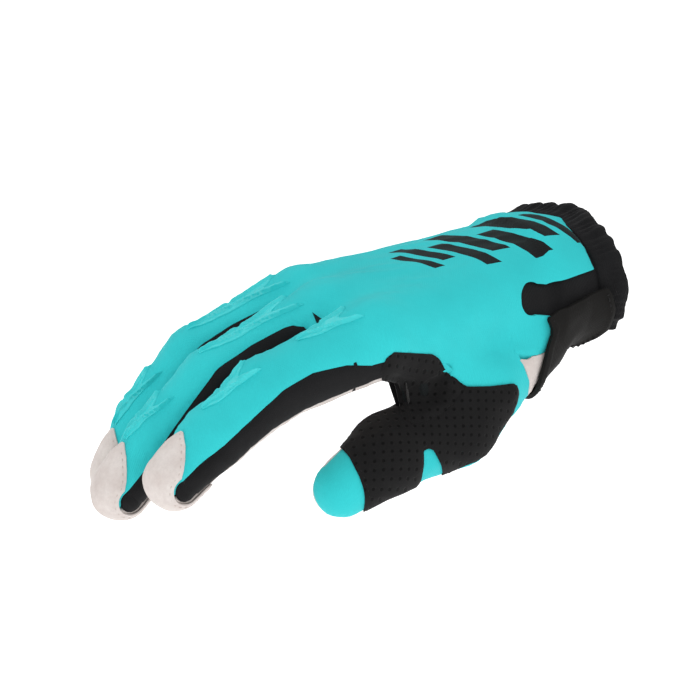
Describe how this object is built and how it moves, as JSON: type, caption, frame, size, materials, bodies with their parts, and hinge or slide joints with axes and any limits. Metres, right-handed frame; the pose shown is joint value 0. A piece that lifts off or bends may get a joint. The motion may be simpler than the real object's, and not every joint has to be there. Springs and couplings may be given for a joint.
{
  "type": "motocross glove",
  "caption": "Right-hand motocross glove, shown worn: teal stretch back, beige suede palm and fingertips, black thumb patch, sides, knitted cuff and wrist strap, moulded guards.",
  "frame": {"origin": "middle of the wrist, where the forearm enters the glove", "axes": "fingers towards -X and the forearm towards +X, little finger's side towards +Y, back of the hand towards +Z"},
  "size_m": [0.2134, 0.1005, 0.0922],
  "materials": {
    "teal_cloth": "matte stretch weave",
    "beige_suede": "napped suede",
    "black_cloth": "matte stretch weave",
    "black_knit": "ribbed knit over foam",
    "black_grip": "matte perforated synthetic suede",
    "teal_moulding": "satin moulded rubber",
    "strap_rubber": "satin moulded rubber"
  },
  "bodies": {
    "root": {"back_panel": "teal_cloth", "thumb_back": "teal_cloth", "palm_panel": "beige_suede", "thumb_palm": "beige_suede", "fingertip_wrap_index": "beige_suede", "fingertip_wrap_middle": "beige_suede", "fingertip_wrap_ring": "beige_suede", "fingertip_wrap_little": "beige_suede", "side_index_middle": "black_cloth", "side_middle_ring": "black_cloth", "side_ring_little": "black_cloth", "side_index_outer": "black_cloth", "side_little_outer": "black_cloth", "wrist_gusset": "black_cloth", "cuff_band": "black_knit", "palm_cuff": "black_knit", "thumb_patch": "black_grip", "knuckle_guard_index": "teal_moulding", "knuckle_guard_middle": "teal_moulding", "knuckle_guard_ring": "teal_moulding", "knuckle_guard_little": "teal_moulding", "finger_guard_index": "teal_moulding", "finger_guard_middle": "teal_moulding", "finger_guard_ring": "teal_moulding", "finger_guard_little": "teal_moulding", "wrist_strap": "strap_rubber"}
  },
  "joints": []
}
